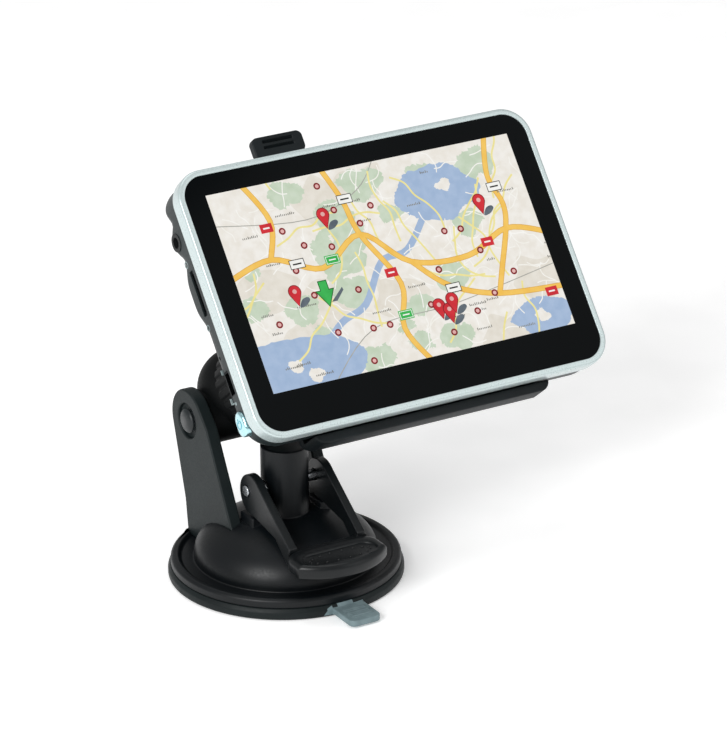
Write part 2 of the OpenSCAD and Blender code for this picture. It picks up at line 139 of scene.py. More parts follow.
def worked_metal(name, colours, roughness, line_mm, relief_mm, stretch=(1, 1, 1), metallic=1.0, coat=0.0):
    """Metal or plating with fine tool lines or flakes line_mm apart, drawn out along stretch."""
    material, tree, place = start_material(name)
    drawn = put(tree, "Mapping", {"Scale": stretch}, {"Vector": (place, "Object")})
    lines = put(tree, "TexNoise", {"Scale": 1000 / line_mm, "Detail": 4.0, "Roughness": 0.6},
                {"Vector": (drawn, "Vector")})
    tone = ramp(tree, 0.3, 0.7, colours, (lines, "Fac"))
    gloss = put(tree, "MapRange", {"From Min": 0.3, "From Max": 0.7, "To Min": roughness * 0.8,
                                   "To Max": roughness * 1.25}, {"Value": (lines, "Fac")})
    bump = put(tree, "Bump", {"Strength": 0.5, "Distance": relief_mm * MM}, {"Height": (lines, "Fac")})
    shader = put(tree, "BsdfPrincipled", {"Metallic": metallic, "Coat Weight": coat, "Coat Roughness": 0.12},
                 {"Base Color": (tone, "Color"), "Roughness": (gloss, "Result"), "Normal": (bump, "Normal")})
    end_material(tree, shader)
    return material


# Black ABS of the mount's legs, spark-eroded tool finish: a soft grey-green sheen on lit faces
mount_abs = moulded_plastic("spark_eroded_abs", ("#151c1d", "#1b2324"), 0.5, 0.5, 0.012, sheen=0.2)
# Black ABS of the base's dome, polished tool: nearly black with a broad cool highlight over the shoulder
dome_abs = moulded_plastic("polished_dome_abs", ("#04080b", "#070c10"), 0.42, 0.6, 0.006, sheen=0.28)
# Black nylon of the lever, semi-gloss: thin bright edges along its rails
lever_nylon = moulded_plastic("semi_gloss_nylon", ("#0a0d0f", "#101416"), 0.34, 0.45, 0.006, sheen=0.3)
# Soft PVC of the suction cup: greener and duller than the hard parts
cup_pvc = moulded_plastic("soft_pvc", ("#0e1516", "#151d1e"), 0.5, 0.8, 0.01, patch_mm=12, sheen=0.2)
# The pull tab's PVC is thin and paler, grey-teal
tab_pvc = moulded_plastic("pale_tab_pvc", ("#687a7e", "#7d9094"), 0.5, 0.6, 0.01, patch_mm=5)
# Black ABS of the knuckle, fine matt texture: the darkest piece of the mount, because its colour is the holder's ABS
# darkened as painted shade for the shadow it sits in behind the navigator and the fork
shade_dark_knuckle_abs = moulded_plastic("matt_knuckle_abs_painted_shade", ("#040606", "#090b0c"), 0.55, 0.5, 0.014, sheen=0.12)
# Black ABS of the holder, the same texture in its own tone, lighter than the knuckle's painted shade
holder_abs = moulded_plastic("matt_holder_abs", ("#0d1315", "#151c1f"), 0.5, 0.45, 0.014, sheen=0.2)
# Black ABS of the rear shell, satin
shell_abs = moulded_plastic("satin_shell_abs", ("#1a2223", "#232c2d"), 0.42, 0.5, 0.008)
# Darker satin ABS of push-in caps
cap_abs = moulded_plastic("satin_cap_abs", ("#14191b", "#1f2628"), 0.4, 0.5, 0.006, sheen=0.4)
# Grey nylon thrust washers and natural acetal liners, waxy and pale
washer_nylon = moulded_plastic("grey_nylon", ("#5f6365", "#6d7173"), 0.45, 0.5, 0.006)
liner_acetal = moulded_plastic("natural_acetal", ("#cfccc0", "#dbd8cd"), 0.35, 0.6, 0.004)
# Glass-filled nylon of sockets and switches, with a dry look
socket_nylon = moulded_plastic("glass_filled_nylon", ("#17191a", "#222526"), 0.5, 0.3, 0.012)
# Speaker's paper cone and black frame
speaker_paper = moulded_plastic("speaker_paper", ("#1b1c1d", "#2a2b2c"), 0.75, 0.35, 0.03)
# Green solder mask over a woven glass laminate
board_laminate = moulded_plastic("solder_mask", ("#0e4a26", "#1a6a38"), 0.35, 0.7, 0.01, coat=0.4)
# Fired ceramic of the aerial, chalky cream
antenna_ceramic = moulded_plastic("fired_ceramic", ("#c9bd95", "#ddd2ad"), 0.55, 0.4, 0.01)

# Zinc-plated steel: pale grey with short bright scratches
steel = worked_metal("zinc_plated_steel", ("#a8acb0", "#d6dade"), 0.26, 0.35, 0.004, (1, 4, 4))
# Bright drawn spring wire
spring_wire = worked_metal("drawn_spring_wire", ("#9ea2a6", "#c4c8cc"), 0.3, 0.25, 0.003, (1, 1, 6))
# Silver lacquer over a zinc casting: fine flake, near white where it faces the light
bezel_lacquer = worked_metal("silver_lacquer", ("#bccbcb", "#cad6d6"), 0.3, 0.3, 0.0, metallic=0.35, coat=0.3)
# Chromed plastic with a pale blue tint, mirror bright
tinted_chrome = worked_metal("pale_blue_chrome", ("#a9dde6", "#c9eef3"), 0.16, 0.4, 0.001, metallic=0.85, coat=0.6)
# Tinned steel cans and socket shells, soft grey with a rolled grain
tinned_steel = worked_metal("tinned_steel", ("#b4b8ba", "#cfd2d4"), 0.32, 0.5, 0.003, (1, 1, 5))
# Dark nickel plating of the socket shells: only a dim line round each opening
dull_nickel = worked_metal("dull_nickel", ("#1c1f21", "#2a2e30"), 0.45, 0.5, 0.002)
# Pressed aluminium tray and the pouch cell's foil
pressed_tray = worked_metal("pressed_aluminium", ("#b5b8ba", "#caccce"), 0.35, 0.6, 0.004, (5, 1, 1))
pouch_foil = worked_metal("pouch_foil", ("#b9bbbf", "#d5d7db"), 0.28, 3.0, 0.06)


def glass_cover():
    """Black-backed cover glass: an almost even dark slate with a faint polish haze in its gloss."""
    material, tree, place = start_material("black_backed_glass")
    haze = put(tree, "TexNoise", {"Scale": 1000 / 40, "Detail": 2.0}, {"Vector": (place, "Object")})
    tone = ramp(tree, 0.3, 0.7, ("#030506", "#05080a"), (haze, "Fac"))
    gloss = put(tree, "MapRange", {"To Min": 0.07, "To Max": 0.12}, {"Value": (haze, "Fac")})
    shader = put(tree, "BsdfPrincipled", {"IOR": 1.5, "Specular IOR Level": 0.05},
                 {"Base Color": (tone, "Color"), "Roughness": (gloss, "Result")})
    end_material(tree, shader)
    return material


def lit_screen(name, code, tint, strength=0.96, patch_mm=3.0):
    """One printed colour of the lit map, a little uneven as the picture's own shading is."""
    material, tree, place = start_material("screen_" + name)
    cloud = put(tree, "TexNoise", {"Scale": 1000 / patch_mm, "Detail": 3.0}, {"Vector": (place, "Object")})
    glow = ramp(tree, 0.35, 0.65, (code, tint), (cloud, "Fac"))
    shader = put(tree, "BsdfPrincipled", {"Base Color": linear("#050607"), "Roughness": 0.35,
                                          "Specular IOR Level": 0.1, "Emission Strength": strength},
                 {"Emission Color": (glow, "Color")})
    end_material(tree, shader)
    return material


# ------------------------------------------------------------------ mesh helpers

def dress(piece, body, slot_name, *replaced):
    """Puts a finished piece on its body and hides the nodes that it stands for; the finish name is not used."""
    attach(piece, body)
    if replaced:
        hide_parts(*replaced)
    return piece


def build(name, bm, materials, crease=30):
    """Makes an object from a bmesh, smooth except at edges sharper than crease degrees."""
    bmesh.ops.recalc_face_normals(bm, faces=bm.faces)
    mesh = bpy.data.meshes.new(name)
    bm.to_mesh(mesh)
    bm.free()
    mesh.shade_smooth()
    mesh.set_sharp_from_angle(angle=math.radians(crease))
    for material in materials:
        mesh.materials.append(material)
    piece = bpy.data.objects.new(name, mesh)
    bpy.context.scene.collection.objects.link(piece)
    return piece


def ease(piece, radius_mm, segments=3):
    """Rounds a piece's sharp edges to a small radius, so that they catch a line of light."""
    bevel = piece.modifiers.new("eased edges", "BEVEL")
    bevel.width = radius_mm * MM
    bevel.segments = segments
    bevel.limit_method = "ANGLE"
    bevel.angle_limit = math.radians(30)
    bevel.use_clamp_overlap = False
    bevel.harden_normals = True
    return piece


def from_node(node_name, name, radius_mm, materials, paint=None):
    """A copy of a CAD node with its flat faces joined up and its edges eased.
    paint gives a face's material from its middle in millimetres."""
    bm = bmesh.new()
    bm.from_mesh(frame["nodes"][node_name].data)
    bmesh.ops.remove_doubles(bm, verts=bm.verts, dist=0.003 * MM)
    bmesh.ops.dissolve_limit(bm, angle_limit=math.radians(0.5), verts=bm.verts, edges=bm.edges)
    for face in bm.faces:
        face.material_index = paint(face.calc_center_median() / MM) if paint else 0
    return ease(build(name, bm, materials), radius_mm)


def loops_to_solid(bm, loops, ends=True):
    """Skins a list of matching loops of vertices, and caps both ends."""
    for a, b in zip(loops, loops[1:]):
        for k in range(len(a)):
            n = (k + 1) % len(a)
            bm.faces.new((a[k], a[n], b[n], b[k]))
    if ends:
        bm.faces.new(loops[0])
        bm.faces.new(loops[-1])


def filleted(points):
    """Rounds the corners of a (radius, height) outline; a point may carry its corner radius as a third number."""
    out = []
    count = len(points)
    for i, point in enumerate(points):
        if len(point) < 3 or i in (0, count - 1):
            out.append(Vector(point[:2]))
            continue
        corner = Vector(point[:2])
        before = (Vector(points[i - 1][:2]) - corner)
        after = (Vector(points[i + 1][:2]) - corner)
        angle = before.angle(after)
        cut = min(point[2] / math.tan(angle / 2), before.length * 0.49, after.length * 0.49)
        start, end = corner + before.normalized() * cut, corner + after.normalized() * cut
        steps = 6
        for k in range(steps + 1):
            t = k / steps
            out.append(start * (1 - t) ** 2 + corner * 2 * t * (1 - t) + end * t ** 2)
    return out


def turned(bm, outline, place, steps=144, closed=False):
    """Turns an outline of (radius, height) about Z; a point on the axis closes the form."""
    rings = []
    for r, z in outline:
        if r < 1e-6:
            rings.append([bm.verts.new(place @ Vector((0, 0, z)))])
        else:
            rings.append([bm.verts.new(place @ Vector((r * math.cos(a), r * math.sin(a), z)))
                          for a in (math.tau * k / steps for k in range(steps))])
    pairs = list(zip(rings, rings[1:]))
    if closed:
        pairs.append((rings[-1], rings[0]))
    for low, high in pairs:
        for k in range(steps):
            n = (k + 1) % steps
            face = [low[k % len(low)], low[n % len(low)], high[n % len(high)], high[k % len(high)]]
            face = list(dict.fromkeys(face))
            if len(face) > 2:
                bm.faces.new(face)
    return rings


def rounded_path(w, h, r, corner=14, straight=1):
    """Points (x, z, nx, nz) round a rounded rectangle, with the outward direction at each."""
    points = []
    for cx, cz, start in ((w / 2 - r, h / 2 - r, 0), (-w / 2 + r, h / 2 - r, 90),
                          (-w / 2 + r, -h / 2 + r, 180), (w / 2 - r, -h / 2 + r, 270)):
        for k in range(corner + 1):
            a = math.radians(start + 90 * k / corner)
            points.append((cx + r * math.cos(a), cz + r * math.sin(a), math.cos(a), math.sin(a)))
    out = []
    for i, p in enumerate(points):
        q = points[(i + 1) % len(points)]
        out.append(p)
        if (i + 1) % (corner + 1) == 0:
            for k in range(1, straight):
                t = k / straight
                out.append((p[0] + (q[0] - p[0]) * t, p[1] + (q[1] - p[1]) * t, p[2], p[3]))
    return out


def framed(bm, path, profile, place, closed=True):
    """Runs a profile of (outward, depth) round a path in the screen's plane."""
    loops = [[bm.verts.new(place @ Vector((x + nx * out, depth, z + nz * out))) for x, z, nx, nz in path]
             for out, depth in profile]
    pairs = list(zip(loops, loops[1:]))
    if closed:
        pairs.append((loops[-1], loops[0]))
    for a, b in pairs:
        for k in range(len(path)):
            n = (k + 1) % len(path)
            bm.faces.new((a[k], a[n], b[n], b[k]))
    return loops


# ------------------------------------------------------------------ CAD nodes that keep their own shape

kept = {
    "foot_plate": steel, "suction_post": steel, "return_spring": spring_wire, "fork_screws": steel,
    "pivot_bolt": steel, "pivot_nut": steel, "friction_washers": washer_nylon,
    "rear_liner": liner_acetal, "front_liner": liner_acetal, "socket_cup": holder_abs,
    "holder_screws": steel, "lcd_panel": glass_cover(), "lcd_tray": pressed_tray, "battery": pouch_foil,
    "main_board": board_laminate, "shield_cans": tinned_steel, "gps_antenna": antenna_ceramic,
    "speaker": speaker_paper, "earphone_jack": socket_nylon, "card_socket": dull_nickel,
    "usb_socket": dull_nickel, "reset_switch": socket_nylon, "power_switch": socket_nylon,
    # the ball arm takes the knuckle ABS, whose near-black colour is painted shade
    "housing_screws": steel, "tower_cap": cap_abs, "ball_arm": shade_dark_knuckle_abs,
}
for node_name, material in kept.items():
    shown = frame["nodes"][node_name]
    shown.data.materials.clear()
    shown.data.materials.append(material)

# ------------------------------------------------------------------ mount

for node_name, name, radius, material, body, slot_name in (
        ("fork", "fork_legs", 0.6, mount_abs, "base", "mount_plastic"),
        ("base_shell", "base_dome", 0.4, dome_abs, "base", "mount_plastic"),
        ("lever_pin", "pin", 0.3, steel, "post", "steel"),
        ("pivot_caps", "domed_caps", 0.15, cap_abs, "base", "cap_plastic"),
        # the socket nut takes the knuckle ABS, whose near-black colour is painted shade
        ("socket_nut", "ribbed_nut", 0.3, shade_dark_knuckle_abs, "nut", "holder_plastic"),
        ("holder_plate", "holder_back", 0.5, holder_abs, "holder", "holder_plastic"),
        ("release_clip", "clip_tongue", 0.45, holder_abs, "clip", "holder_plastic")):
    dress(from_node(node_name, name, radius, [material]), body, slot_name, node_name)

CUP_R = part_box("suction_cup")[1].x / MM
PAD_TOP, PAD_BOTTOM = 18.8, 14.4
PAD_W, PAD_BACK, PAD_FRONT, PAD_BOW = 31.0, -24.5, -41.5, 22.0
PAD_MIDDLE = (PAD_BACK + PAD_FRONT) / 2
RECESS_Y = PAD_MIDDLE - 0.6


def in_rounded_rect(x, y, w, h, r):
    over_x, over_y = max(abs(x) - w / 2 + r, 0), max(abs(y) - h / 2 + r, 0)
    return math.hypot(over_x, over_y) <= r


def in_pad(x, y):
    return in_rounded_rect(x, y - PAD_MIDDLE, PAD_W, PAD_BACK - PAD_FRONT, 6) and \
        math.hypot(x, y - PAD_FRONT - PAD_BOW) <= PAD_BOW


def in_recess(x, y):
    return in_rounded_rect(x, y - RECESS_Y, 25, 8.6, 4.2)


def outline_seen_from(y0, inside, count=120):
    """Outline of a form, found by going out from (0, y0) in every direction, with its outward directions."""
    points = []
    for k in range(count):
        a = math.tau * k / count
        near, far = 0.0, 40.0
        for _ in range(30):
            half = (near + far) / 2
            near, far = (half, far) if inside(half * math.cos(a), y0 + half * math.sin(a)) else (near, half)
        points.append(Vector((near * math.cos(a), y0 + near * math.sin(a))))
    out = []
    for k, point in enumerate(points):
        along = (points[(k + 1) % count] - points[k - 1]).normalized()
        out.append((point, Vector((along.y, -along.x))))
    return out


def thumb_lever():
    """The lever: two eased rails, and a pad with a rolled rim and a dished oval recess."""
    rails = bmesh.new()
    rails.from_mesh(frame["nodes"]["lever"].data)
    bmesh.ops.remove_doubles(rails, verts=rails.verts, dist=0.003 * MM)
    bmesh.ops.dissolve_limit(rails, angle_limit=math.radians(0.5), verts=rails.verts, edges=rails.edges)
    cut = bmesh.ops.bisect_plane(rails, geom=rails.verts[:] + rails.edges[:] + rails.faces[:],
                                 plane_co=(0, (PAD_BACK - 1.5) * MM, 0), plane_no=(0, -1, 0), clear_outer=True)
    bmesh.ops.edgenet_fill(rails, edges=[e for e in cut["geom_cut"] if isinstance(e, bmesh.types.BMEdge)])
    pad = bmesh.new()
    rim, dish = outline_seen_from(RECESS_Y, in_pad), outline_seen_from(RECESS_Y, in_recess)
    roll = 1.7
    steps = [(rim, 0.9, PAD_BOTTOM), (rim, 0.25, PAD_BOTTOM + 0.25), (rim, 0.0, PAD_BOTTOM + 0.9)]
    steps += [(rim, roll * (1 - math.cos(a)), PAD_TOP - roll + roll * math.sin(a))
              for a in (math.radians(15 * k) for k in range(7))]
    steps += [(dish, -0.2, PAD_TOP), (dish, 0.0, PAD_TOP - 0.1), (dish, 0.3, PAD_TOP - 0.55),
              (dish, 0.8, PAD_TOP - 0.7)]
    loops_to_solid(pad, [[pad.verts.new((Vector((p.x - n.x * inset, p.y - n.y * inset, z))) * MM)
                          for p, n in outline] for outline, inset, z in steps])
    ridge = build("lever_rails", rails, [lever_nylon])
    ease(ridge, 0.35)
    return ridge, build("thumb_pad", pad, [lever_nylon], 35)


lever_rails, thumb_pad = thumb_lever()
dress(lever_rails, "lever", "lever_plastic", "lever")
dress(thumb_pad, "lever", "lever_plastic")
dress(from_node("suction_cup", "cup_with_tab", 0.3, [cup_pvc, tab_pvc],
                paint=lambda p: 1 if p.y < -CUP_R + 0.6 and p.z > 0.3 and abs(p.x) < 8 else 0),
      "base", "cup_rubber", "suction_cup")


def pad_pips():
    """Ring of small domed pips on the floor of the pad's recess."""
    bm = bmesh.new()
    for k in range(16):
        a = math.tau * (k + 0.5) / 16
        place = MOUNT @ Matrix.Translation((10.4 * math.cos(a), RECESS_Y + 2.7 * math.sin(a), PAD_TOP - 0.8))
        turned(bm, [(0.42, 0), (0.4, 0.2), (0.28, 0.38), (0, 0.45)], place, 14)
    return build("pad_pips", bm, [lever_nylon])


dress(pad_pips(), "lever", "lever_plastic")

# ------------------------------------------------------------------ navigator

GLASS_W, GLASS_H, GLASS_R = 122.1, 83.3, 7.5


def bezel():
    """Silver frame round the glass: a rolled front edge, a straight side and a thin return inside."""
    profile = filleted([(0.02, 1.0), (0.02, -0.3, 0.25), (2.05, -0.3, 1.1), (2.05, 5.0, 0.3), (-2.0, 5.0), (-2.0, 1.0)])
    bm = bmesh.new()
    framed(bm, rounded_path(GLASS_W, GLASS_H, GLASS_R, 18), profile, DEVICE)
    return build("bezel_frame", bm, [bezel_lacquer], 40)


def cover():
    """Cover glass with a ground edge."""
    bm = bmesh.new()
    profile = filleted([(-0.3, 0.0), (-0.02, 0.0, 0.2), (-0.02, 0.97), (-0.3, 0.97)])
    loops = framed(bm, rounded_path(GLASS_W, GLASS_H, GLASS_R, 18), profile, DEVICE, closed=False)
    bm.faces.new(loops[0])
    bm.faces.new(loops[-1])
    return build("cover_glass", bm, [frame["nodes"]["lcd_panel"].data.materials[0]], 40)


# ------------------------------------------------------------------ the lit map

SCREEN_W, SCREEN_H, SCREEN_UP = 108.0, 64.8, 2.74
LAYER = 0.008                      # depth between two printed layers of the map
# Colour and tint of each layer, from the ground up
inks = [
    ("ground", "#f4f1eb", "#ece7de"), ("town", "#eae5db", "#e2dcd0"), ("park", "#cfdcc8", "#c3d3bb"),
    ("water", "#aabfdc", "#a0b7d6"), ("street", "#fbfaf6", "#f4f2ea"), ("rail", "#b3b2ab", "#a6a59e"),
    ("lane", "#f3e9a2", "#eee294"), ("road_edge", "#dfae4a", "#d8a643"), ("road", "#f8cb66", "#f4c258"),
    ("label", "#8d8c86", "#77766f"), ("ink", "#33332f", "#2a2a27"), ("sign", "#fbfbf7", "#f2f2ee"),
    ("red", "#d8333c", "#c92a34"), ("dark_red", "#8c2228", "#7d1c22"), ("rose", "#e9bcb8", "#e0aaa6"),
    ("green", "#3fb857", "#36ab4d"), ("dark_green", "#1d6b2f", "#195f29"), ("yellow", "#f6ee6a", "#efe55c"),
    ("shadow", "#57616b", "#6a747d")]
ink_number = {ink[0]: i for i, ink in enumerate(inks)}


def curve_through(points, closed=False, steps=8):
    """Smooth curve through a few points of the map."""
    pts = [Vector(p) for p in points]
    count = len(pts)
    out = []
    for i in range(count if closed else count - 1):
        if closed:
            a, b, c, d = (pts[(i + k) % count] for k in (-1, 0, 1, 2))
        else:
            a, b, c, d = pts[max(i - 1, 0)], pts[i], pts[i + 1], pts[min(i + 2, count - 1)]
        for k in range(steps):
            t = k / steps
            out.append(0.5 * ((2 * b) + (c - a) * t + (2 * a - 5 * b + 4 * c - d) * t * t
                              + (3 * b - a - 3 * c + d) * t ** 3))
    if not closed:
        out.append(pts[-1])
    return out


def invented_map():
    """The lit picture of an invented place: flat inks in thin layers, from the ground up to the markers."""
    bm = bmesh.new()

    def fill(points, ink, layer):
        flat = bmesh.new()
        face = flat.faces.new([flat.verts.new((x, y, 0)) for x, y in points])
        face.normal_update()
        bmesh.ops.triangulate(flat, faces=[face], ngon_method="EAR_CLIP")
        for spot, out in (((0, 0, 0), (-1, 0, 0)), ((SCREEN_W, 0, 0), (1, 0, 0)),
                          ((0, 0, 0), (0, -1, 0)), ((0, SCREEN_H, 0), (0, 1, 0))):
            bmesh.ops.bisect_plane(flat, geom=flat.verts[:] + flat.edges[:] + flat.faces[:],
                                   plane_co=spot, plane_no=out, clear_outer=True)
        depth = -0.02 - LAYER * layer
        seen = {v: bm.verts.new(DEVICE @ Vector((v.co.x - SCREEN_W / 2, depth,
                                                 SCREEN_UP + SCREEN_H / 2 - v.co.y))) for v in flat.verts}
        for face in flat.faces:
            bm.faces.new([seen[v] for v in face.verts]).material_index = ink_number[ink]
        flat.free()

    def blob(points, ink, layer, ragged=0.0):
        line = curve_through(points, closed=True)
        fill([p + Vector((random.uniform(-ragged, ragged), random.uniform(-ragged, ragged))) for p in line],
             ink, layer)

    def band(points, width, ink, layer):
        line = curve_through(points, steps=6)
        left, right = [], []
        for i, p in enumerate(line):
            along = (line[min(i + 1, len(line) - 1)] - line[max(i - 1, 0)]).normalized()
            side = Vector((-along.y, along.x)) * width / 2
            left.append(p + side)
            right.append(p - side)
        for i in range(len(line) - 1):
            fill([left[i], left[i + 1], right[i + 1], right[i]], ink, layer)

    def box(x, y, w, h, ink, layer):
        fill([(x - w / 2, y - h / 2), (x + w / 2, y - h / 2), (x + w / 2, y + h / 2), (x - w / 2, y + h / 2)],
             ink, layer)

    def disc(x, y, r, ink, layer, steps=20):
        fill([(x + r * math.cos(math.tau * k / steps), y + r * math.sin(math.tau * k / steps))
              for k in range(steps)], ink, layer)

    box(SCREEN_W / 2, SCREEN_H / 2, SCREEN_W, SCREEN_H, "ground", 0)
    def wander(x, y, turn, stride, count, bend):
        """A route that wanders off from a point, turning a little at each step."""
        route = [(x, y)]
        for _ in range(count):
            turn += random.uniform(-bend, bend)
            x, y = x + stride * math.cos(turn), y + stride * math.sin(turn)
            route.append((x, y))
        return route

    def patch(x, y, reach, count=9):
        return [(x + reach * math.cos(a) * random.uniform(0.6, 1.15), y + reach * math.sin(a) * random.uniform(0.4, 0.9))
                for a in (math.tau * k / count for k in range(count))]

    def anywhere():
        return random.uniform(0, SCREEN_W), random.uniform(0, SCREEN_H)

    def on_land(x, y):
        return all(math.hypot((x - cx) / wide, (y - cy) / tall) > 1 for cx, cy, wide, tall in waters)

    # An invented country: a lake, a bay, a river between them, and roads that cross it
    waters = ((76, 14, 15, 10), (8, 60, 26, 11), (98, 60, 11, 6))
    for _ in range(9):
        blob(patch(*anywhere(), 11), "town", 1)
    for _ in range(26):
        blob(patch(*anywhere(), random.uniform(3, 9)), "park", 2, 0.45)
    for cx, cy, wide, tall in waters:
        blob([(cx + wide * math.cos(a) * random.uniform(0.8, 1.1), cy + tall * math.sin(a) * random.uniform(0.8, 1.1))
              for a in (math.tau * k / 14 for k in range(14))], "water", 3, 0.3)
    band([(70, 20), (60, 30), (50, 32), (40, 44), (30, 48), (20, 56)], 2.2, "water", 3)
    for x, y in ((80, 12), (10, 58), (16, 62), (98, 60)):
        blob(patch(x, y, 3), "ground", 4, 0.2)
    for _ in range(150):
        x, y = anywhere()
        if on_land(x, y):
            band(wander(x, y, random.uniform(0, math.tau), 2.2, 4, 0.7), 0.34, "street", 5)
    for route in ([(-2, 10), (30, 14), (50, 8), (60, -2)], [(20, 67), (40, 52), (70, 50), (110, 44)]):
        band(route, 0.3, "rail", 6)
    for _ in range(26):
        x, y = anywhere()
        if on_land(x, y):
            band(wander(x, y, random.uniform(0, math.tau), 5, 5, 0.6), 0.62, "lane", 7)
    highways = ([(-2, 28), (14, 24), (30, 30), (46, 22), (60, 34), (80, 36), (96, 30), (110, 34)],
                [(40, -2), (44, 10), (46, 22), (54, 40), (50, 54), (56, 67)],
                [(60, 34), (70, 44), (86, 50), (110, 52)], [(100, -2), (96, 12), (98, 22), (96, 30), (90, 42), (86, 50)],
                [(14, 24), (18, 12), (12, -2)])
    for width, ink, layer in ((1.9, "road_edge", 8), (1.5, "road", 9)):
        for route in highways:
            band(route, width, ink, layer)
    # Rows of short strokes stand where place names would be; they are not letters
    for _ in range(26):
        x, y = anywhere()
        for k in range(random.randint(5, 11)):
            tall = random.choice((0.55, 0.55, 0.85))
            box(x + 0.62 * k, y - tall / 2, 0.3, tall, "label", 10)
            if random.random() < 0.5:
                box(x + 0.2 + 0.62 * k, y - 0.3, 0.3, 0.14, "label", 10)
    # Round markers scattered over the land
    markers = []
    while len(markers) < 24:
        x, y = random.uniform(2, SCREEN_W - 2), random.uniform(2, SCREEN_H - 2)
        if on_land(x, y) and all(math.hypot(x - a, y - b) > 5 for a, b in markers):
            markers.append((x, y))
            disc(x, y, 1.15, "dark_red", 11)
            disc(x, y, 0.62, "rose", 12)
    # Blank route shields: only bars, no numbers
    for x, y in ((22, 27), (45, 10), (71, 45), (97, 16)):
        box(x, y, 5.2, 3.1, "ink", 12)
        box(x, y, 4.7, 2.6, "sign", 13)
        box(x, y, 3.0, 0.5, "ink", 14)
    for x, y in ((88, 33), (52, 36), (16, 14), (104, 53)):
        box(x, y, 4.2, 2.9, "red", 12)
        box(x, y, 2.2, 0.5, "sign", 13)
    for x, y in ((52, 50), (34, 28)):
        box(x, y, 5.0, 3.1, "green", 11)
        box(x, y, 4.4, 2.5, "sign", 12)
        box(x, y, 4.0, 2.1, "green", 13)
        box(x, y, 2.4, 0.4, "sign", 14)
    # Arrow of the car's place
    car_x, car_y = 28, 38
    fill([(car_x + 1, car_y + 3), (car_x + 6, car_y - 1), (car_x + 6.2, car_y), (car_x + 3, car_y + 3)], "shadow", 11)
    for grow, ink, layer in ((0.3, "dark_green", 12), (0.0, "green", 13)):
        fill([(car_x + dx + gx * grow, car_y + dy + gy * grow) for dx, dy, gx, gy in (
            (-1.3, -4, -1, -1), (1.3, -4, 1, -1), (1.3, -1, 1, -1), (2.8, -1, 1.9, -1), (0, 4, 0, 1.6),
            (-2.8, -1, -1.9, -1), (-1.3, -1, -1, -1))], ink, layer)
    # Pins with their leaning shadows
    pins = ((64, 54), (67, 56), (69, 53), (18, 40), (90, 24), (36, 18))
    for i, (x, y) in enumerate(pins):
        blob([(x + 0.2, y + 0.5), (x + 1.6, y - 1.7), (x + 3.6, y - 2.2), (x + 4.2, y - 1.2), (x + 2.4, y + 0.3)],
             "shadow", 13)
        for grow, ink, lift in ((0.28, "dark_red", 0), (0.0, "red", 0.4)):
            r = 1.95 + grow
            head = [(x + r * math.cos(a), y - 4.6 + r * math.sin(a))
                    for a in (math.radians(150 + 12.5 * k) for k in range(20))]
            fill(head + [(x, y + grow)], ink, 14 + 0.8 * i + lift)
        disc(x, y - 4.7, 0.72, "rose", 14 + 0.8 * i + 0.6)
    return build("map_picture", bm, [lit_screen(*ink) for ink in inks], 60)


dress(bezel(), "navigator", "bezel_silver", "bezel_ring")
dress(invented_map(), "navigator", "front_glass")
dress(cover(), "navigator", "front_glass", "front_glass")
SHELL_W, SHELL_H, SHELL_FRONT, SHELL_BACK, WALL = 125.0, 86.2, 5.0, 15.2, 1.4
SIDE = -SHELL_W / 2
JACK, CARD, USB, RESET, KEY = (11.9, 25.8), (8.9, 8.0), (9.2, -21.5), (9.6, -13.0), (9.5, -34.4)   # (depth, height)


def prism(bm, outline, start, end, along_x):
    """Straight prism over an outline of (depth, height) from x start to end, or of (x, height) over a depth."""
    if along_x:
        rows = [[bm.verts.new(DEVICE @ Vector((x, d, z))) for d, z in outline] for x in (start, end)]
    else:
        rows = [[bm.verts.new(DEVICE @ Vector((x, d, z))) for x, z in outline] for d in (start, end)]
    loops_to_solid(bm, rows)


def oblong(centre, w, h, r, corner=8):
    return [(centre[0] + x, centre[1] + z) for x, z, _, _ in rounded_path(w, h, r, corner)]


def cut_away(piece, cutter):
    """Takes the cutter's solids out of a piece."""
    hole = piece.modifiers.new("openings", "BOOLEAN")
    hole.operation, hole.solver, hole.object = "DIFFERENCE", "EXACT", cutter
    bpy.context.view_layer.update()
    shaped = piece.evaluated_get(bpy.context.evaluated_depsgraph_get())
    mesh = bpy.data.meshes.new_from_object(shaped)
    piece.modifiers.clear()
    piece.data = mesh
    mesh.shade_smooth()
    mesh.set_sharp_from_angle(angle=math.radians(32))
    bpy.data.objects.remove(cutter)
    return piece


def swell(x, z):
    """How full the shell stands at a point of its rim: 1 over the corner and the sockets on the left side."""
    if x > SIDE + 9:
        return 0.35
    full = max(math.exp(-((z - spot) / reach) ** 4) for spot, reach in ((JACK[1], 4.4), (CARD[1], 8.4), (41.0, 7.0)))
    return full if z > -30 else 0.1


